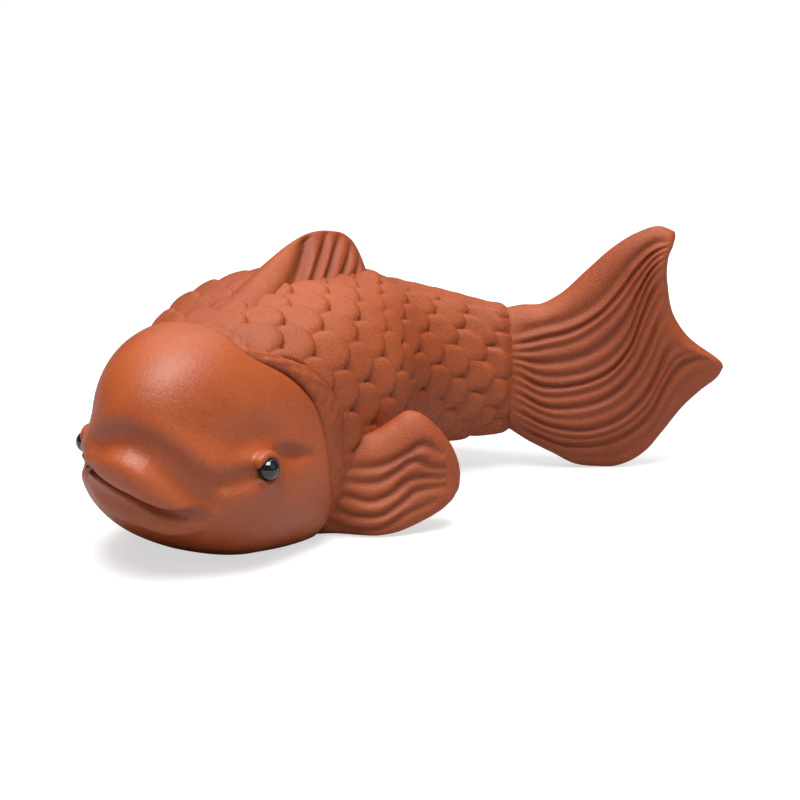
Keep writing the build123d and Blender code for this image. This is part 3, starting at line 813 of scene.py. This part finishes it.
# %% Tail fin's rays
# Share across the fan, from its bottom to its top, and corners as (station, height)
TAIL_GUIDES = [
    (0.00, [(112, 9.4), (117.9, 5.5), (123.1, 2.8), (127.4, 0.6), (132.2, 0.0), (135.9, 0.1), (139, 1.2),
            (142, 3.3), (145.2, 7.2), (149.8, 13.2), (152.9, 16.2), (156.7, 19.6), (157.5, 21.3)]),
    (0.12, [(112, 11.5), (118, 8.6), (125, 5.7), (129.7, 5.3), (137.6, 7.3), (142.6, 11.6),
            (146.1, 18.4), (149.2, 22.4), (153, 23.6), (156.4, 22.9)]),
    (0.24, [(112, 14.0), (115.5, 12.9), (122.9, 9.6), (129.6, 8.8), (136.5, 11.1), (141.1, 15.2),
            (144.0, 20.5), (146.2, 25.3), (149.9, 27.9)]),
    (0.33, [(112, 17), (115.5, 15.9), (122, 12.8), (128.5, 12.6), (135.3, 15), (139.8, 19.5),
            (142.6, 25), (144.3, 29.5), (146.9, 32.6)]),
    (0.43, [(112, 19.5), (115.4, 18.8), (120.9, 16.3), (127, 16.4), (134.1, 18.9), (138.5, 23.8),
            (141.2, 30.0), (143.2, 34.8), (145.7, 38.6)]),
    (0.58, [(112, 23.0), (115.4, 22.6), (120.1, 20.8), (127, 20.8), (134, 23.8), (137.5, 28),
            (139.9, 34.8), (142.2, 40.2), (145.7, 44.0)]),
    (0.73, [(112, 26), (113.9, 25.8), (121.4, 26.6), (126.8, 27.9), (131.8, 30.9), (136.4, 35.7),
            (139.5, 40.4), (142.8, 44.6), (146.6, 46.6)]),
    (0.85, [(112, 28.7), (113.5, 28.7), (119.9, 30), (125.8, 31.5), (131.4, 34.8), (135, 38.8),
            (138.6, 43.6), (142.5, 46.9), (147.0, 48.1)]),
    (1.00, [(112, 33.2), (116.1, 34.1), (120, 34.3), (123.6, 36.2), (129.2, 41.4), (134.5, 46.2),
            (139.1, 49.1), (144.0, 50.5), (146.9, 49.4)]),
]
# Furrows: share across the fan, depth
TAIL_FURROWS = [
    (0.0, 0.0), (0.055, 0.35), (0.12, 0.8), (0.18, 0.45), (0.24, 0.85), (0.305, 0.5), (0.36, 0.9),
    (0.43, 0.6), (0.50, 0.95), (0.58, 0.7), (0.65, 0.9), (0.72, 0.6), (0.785, 0.95), (0.86, 0.8),
    (1.0, 0.0),
]


def even_points(corners, count):
    """A smooth curve through the corners, cut into count points an even length apart."""
    corners = np.asarray(corners, float)
    run = np.concatenate([[0], np.cumsum(np.hypot(*np.diff(corners, axis=0).T))])
    fine = smooth_rows(np.concatenate([run[:, None], corners], 1), np.linspace(0, run[-1], 300))
    run = np.concatenate([[0], np.cumsum(np.hypot(*np.diff(fine, axis=0).T))])
    even = np.linspace(0, run[-1], count)
    return np.stack([np.interp(even, run, fine[:, 0]), np.interp(even, run, fine[:, 1])], -1)


def fan_depth(u, v):
    """Depth of the furrows at the shares u from root to rim and v across the fan. part goes from 0
    at one furrow to 1 at the next, each counts as depth * exp(-(3.2 * part away)^2), and all fade
    out at the root and before the rim."""
    lines = np.array(TAIL_FURROWS)
    low = np.clip(np.searchsorted(lines[:, 0], v, side="right") - 1, 0, len(lines) - 2)
    part = (v - lines[low, 0]) / (lines[low + 1, 0] - lines[low, 0])
    depth = lines[low, 1] * np.exp(-((part * 3.2) ** 2))
    depth = depth + lines[low + 1, 1] * np.exp(-(((1 - part) * 3.2) ** 2))
    return depth * fade(u, 0.02, 0.16) * fade(u, 0.99, 0.86)


print("top ray from", even_points(TAIL_GUIDES[-1][1], 2)[0], "to", even_points(TAIL_GUIDES[-1][1], 2)[1])

# %% [markdown]
# The fan becomes a slab: a left face and a right face over the same lines, thickest in the middle
# and at the root, thin at both edges and rounded off at the rim, where the faces are sewn together.

# %% Tail fin
TAIL_GRID = (200, 170)
# Half thickness in the middle of the fan: stations and values
TAIL_THICKNESS = ([112, 114, 118, 126, 135, 146, 158], [4.4, 5.7, 5.9, 4.9, 4.1, 3.2, 2.4])
RIM_ROUND = 0.045


def make_tail():
    """Guide curves are cut into even steps from root to rim and joined by a smooth line across.
    Half thickness = middle value * (1 - |2v - 1|^3.2)^0.5, and a quarter circle over the last
    RIM_ROUND of u, less the furrows. Each ring goes up the left face and down the right one."""
    rows, half = TAIL_GRID
    table = [even_points(corners, rows) for share, corners in TAIL_GUIDES]
    across = (1 - np.cos(np.linspace(0, math.pi, half))) / 2
    across = 0.55 * across + 0.45 * np.linspace(0, 1, half)
    shares = np.array([share for share, corners in TAIL_GUIDES])
    stacked = np.concatenate([shares[:, None], np.array(table).reshape(len(shares), -1)], 1)
    plane = smooth_rows(stacked, across).reshape(half, rows, 2).transpose(1, 0, 2)
    station, height = plane[..., 0], np.maximum(plane[..., 1], 0)
    u, v = np.linspace(0, 1, rows)[:, None], across[None, :]
    depth = fan_depth(u, v)
    thick = np.interp(station, *TAIL_THICKNESS) * np.sqrt(np.clip(1 - abs(2 * v - 1) ** 3.2, 0, 1))
    over_rim = np.clip((u - (1 - RIM_ROUND)) / RIM_ROUND, 0, 1)
    thick = np.maximum(thick * np.sqrt(np.clip(1 - over_rim**2, 0, 1)) - depth, 0)
    left = place(station, thick, height)
    right = place(station, -thick, height)[:, ::-1][:, 1:-1]
    # Painted shade: the colour darkens with the depth of the furrows, on both faces.
    hollow = np.concatenate([depth, depth[:, ::-1][:, 1:-1]], 1)
    piece = ring_mesh("tail", np.concatenate([left, right], 1), fold=True, hollow=hollow)
    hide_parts("tail_fin")
    return piece


tail = make_tail()

# %% [markdown]
# Fired red clay is never one flat colour: it varies softly from orange to brown, fine grains and
# pits break the light, and furrows and creases get painted shade. The head was rubbed smooth before
# firing and has a faint sheen, the rest is rougher. So one recipe of noise serves both, with other
# values.

# %% Clay
LIGHT_CLAY, DARK_CLAY, GRAIN = (0.355, 0.067, 0.012), (0.260, 0.039, 0.005), (0.46, 0.125, 0.042)
# The second colour here is painted shade, for furrows, creases, the mouth, the eye seats and under scale
# edges.
PIT, PAINTED_SHADE_COLOUR = (0.16, 0.035, 0.014), (0.17, 0.030, 0.008)


def clay(name, rough, shine, grain, tone=1.0):
    """Clay with the given roughness and shine. Noise of 17 mm mixes two clay colours, finer noise
    adds grains and pits, and the piece's mark of painted shade darkens it. grain is the strength
    of a fine bump, and tone brightens the clay and its grains."""
    material = bpy.data.materials.new(name)
    material.use_nodes = True
    nodes, links = material.node_tree.nodes, material.node_tree.links
    shader = nodes["Principled BSDF"]
    shader.inputs["Roughness"].default_value = rough
    shader.inputs["Specular IOR Level"].default_value = shine
    where = nodes.new("ShaderNodeTexCoord")

    def noise(size, detail, rough_share=0.5):
        node = nodes.new("ShaderNodeTexNoise")
        node.inputs["Scale"].default_value = 1 / (size * MM)
        node.inputs["Detail"].default_value = detail
        node.inputs["Roughness"].default_value = rough_share
        links.new(where.outputs["Object"], node.inputs["Vector"])
        return node.outputs["Fac"]

    def mix(factor, a, b):
        node = nodes.new("ShaderNodeMix")
        node.data_type = "RGBA"
        for socket, value in ((0, factor), (6, a), (7, b)):
            if isinstance(value, tuple):
                node.inputs[socket].default_value = value + (1.0,)
            else:
                links.new(value, node.inputs[socket])
        return node.outputs[2]

    def span(value, low, high, out_low=0.0, out_high=1.0):
        node = nodes.new("ShaderNodeMapRange")
        links.new(value, node.inputs[0])
        for socket, number in zip((1, 2, 3, 4), (low, high, out_low, out_high)):
            node.inputs[socket].default_value = number
        return node.outputs[0]

    light, dark, speck = (tuple(part * tone for part in rgb) for rgb in (LIGHT_CLAY, DARK_CLAY, GRAIN))
    colour = mix(span(noise(17, 3), 0.3, 0.7), dark, light)
    grains = span(noise(0.55, 2, 0.7), 0.35, 0.75)
    colour = mix(span(grains, 0, 1, 0.0, 0.30), colour, speck)
    pits = span(noise(0.7, 1), 0.24, 0.30, 1.0, 0.0)
    colour = mix(span(pits, 0, 1, 0.0, 0.5), colour, PIT)
    # Painted shade: the piece's mark mixes up to 0.6 of the shade colour into the clay.
    mark = nodes.new("ShaderNodeAttribute")
    mark.attribute_name = "hollow"
    colour = mix(span(mark.outputs["Fac"], 0, 1, 0.0, 0.6), colour, PAINTED_SHADE_COLOUR)
    links.new(colour, shader.inputs["Base Color"])
    bump = nodes.new("ShaderNodeBump")
    bump.inputs["Strength"].default_value = grain
    bump.inputs["Distance"].default_value = 0.20 * MM
    links.new(noise(0.45, 4, 0.65), bump.inputs["Height"])
    links.new(bump.outputs["Normal"], shader.inputs["Normal"])
    return material


rubbed = clay("rubbed_clay", 0.45, 0.52, 0.5, 1.12)
rough = clay("rough_clay", 0.55, 0.48, 1.0)
head.data.materials.append(rubbed)
for piece in [trunk, collar, dorsal, tail] + paddles:
    piece.data.materials.append(rough)
print("clay of the head", rubbed.name, "and of the rest", rough.name)

# %% [markdown]
# The beads are black glass, nearly smooth, so they mirror the lamps as small bright spots. With the
# last looks in place, all pieces are tied to the one fired body, which is the frame's root.

# %% Glass, and one body
glass = bpy.data.materials.new("black_bead")
glass.use_nodes = True
shader = glass.node_tree.nodes["Principled BSDF"]
shader.inputs["Base Color"].default_value = (0.006, 0.007, 0.009, 1)
shader.inputs["Roughness"].default_value = 0.06
shader.inputs["Coat Weight"].default_value = 0.6
for piece in beads:
    piece.data.materials.append(glass)

pieces = [head, trunk, collar, dorsal, tail] + paddles + beads
for piece in pieces:
    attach(piece, "root")
print(len(pieces), "pieces ride on the root")

# %% [markdown]
# The fish stands on a white table under a white sky. A table that pale would throw much light up on
# the clay, so it is grey to the lamps, and only what the camera sees of both is lifted to white.

# %% Table and sky
TABLE_GREY, TABLE_GLOW, SKY_LIGHT = 0.50, 0.62, 0.10


def white_floor():
    """Matt table with a glow that only camera rays see: strength = Is Camera Ray * TABLE_GLOW."""
    mesh = bpy.data.meshes.new("table")
    mesh.from_pydata([(-3, -3, 0), (3, -3, 0), (3, 3, 0), (-3, 3, 0)], [], [(0, 1, 2, 3)])
    floor = bpy.data.objects.new("table", mesh)
    bpy.context.scene.collection.objects.link(floor)
    material = bpy.data.materials.new("white_table")
    material.use_nodes = True
    nodes, links = material.node_tree.nodes, material.node_tree.links
    nodes.clear()
    matt = nodes.new("ShaderNodeBsdfDiffuse")
    matt.inputs["Color"].default_value = (TABLE_GREY, TABLE_GREY, TABLE_GREY, 1)
    glow = nodes.new("ShaderNodeEmission")
    glow.inputs["Color"].default_value = (1, 1, 1, 1)
    seen = nodes.new("ShaderNodeLightPath")
    times = nodes.new("ShaderNodeMath")
    times.operation = "MULTIPLY"
    times.inputs[1].default_value = TABLE_GLOW
    links.new(seen.outputs["Is Camera Ray"], times.inputs[0])
    links.new(times.outputs[0], glow.inputs["Strength"])
    both = nodes.new("ShaderNodeAddShader")
    out = nodes.new("ShaderNodeOutputMaterial")
    links.new(matt.outputs[0], both.inputs[0])
    links.new(glow.outputs[0], both.inputs[1])
    links.new(both.outputs[0], out.inputs["Surface"])
    floor.data.materials.append(material)


def white_sky(strength):
    """World: an even light of the given strength, and plain white where it is seen."""
    world = bpy.data.worlds.new("sky")
    bpy.context.scene.world = world
    world.use_nodes = True
    nodes, links = world.node_tree.nodes, world.node_tree.links
    back = nodes["Background"]
    back.inputs["Color"].default_value = (1, 1, 1, 1)
    seen = nodes.new("ShaderNodeLightPath")
    span = nodes.new("ShaderNodeMapRange")
    span.inputs[3].default_value = strength
    span.inputs[4].default_value = 1.0
    links.new(seen.outputs["Is Camera Ray"], span.inputs[0])
    links.new(span.outputs[0], back.inputs["Strength"])


white_floor()
white_sky(SKY_LIGHT)
print("table and sky in place")

# %% [markdown]
# The key lamp hangs nearly overhead and a little to the left, so folds and undersides fall into
# shade. A weak fill and a back lamp keep them readable. The camera is far off with a long lens.

# %% Lamps and camera
# Azimuth and elevation in degrees, distance and size in metres, watts
LAMPS = {
    "key": (-38, 74, 0.9, 0.60, 14.0),
    "fill": (25, 35, 1.0, 0.8, 0.8),
    "back": (150, 55, 1.0, 0.8, 3.5),
}
LAMP_TARGET = Vector((0.036, -0.004, 0.02))
CAMERA_TARGET, CAMERA_AZIMUTH, CAMERA_ELEVATION = Vector((0.03580, -0.00421, 0.022)), -32, 15.5
CAMERA_DISTANCE, CAMERA_LENS = 0.54, 125


def toward(azimuth, elevation):
    """Direction from the fish, azimuth a from the front and elevation e from the table, in degrees:
    (sin a cos e, -cos a cos e, sin e)."""
    a, e = math.radians(azimuth), math.radians(elevation)
    return Vector((math.sin(a) * math.cos(e), -math.cos(a) * math.cos(e), math.sin(e)))


def aim(thing, target, way, distance):
    """Puts a lamp or camera at target + distance * way, facing the target, and into the scene."""
    thing.location = target + way * distance
    thing.rotation_euler = way.to_track_quat("Z", "Y").to_euler()
    bpy.context.scene.collection.objects.link(thing)


for name, (azimuth, elevation, distance, size, watts) in LAMPS.items():
    data = bpy.data.lights.new(name, "AREA")
    data.shape, data.size, data.energy = "SQUARE", size, watts
    aim(bpy.data.objects.new(name, data), LAMP_TARGET, toward(azimuth, elevation), distance)

camera_data = bpy.data.cameras.new("camera")
camera_data.lens = CAMERA_LENS
camera_data.sensor_width = 36
camera_data.clip_start = 0.01
camera = bpy.data.objects.new("camera", camera_data)
aim(camera, CAMERA_TARGET, toward(CAMERA_AZIMUTH, CAMERA_ELEVATION), CAMERA_DISTANCE)
bpy.context.scene.camera = camera
bpy.context.scene.view_settings.view_transform = "Standard"
print("camera at", [round(part, 3) for part in camera.location])
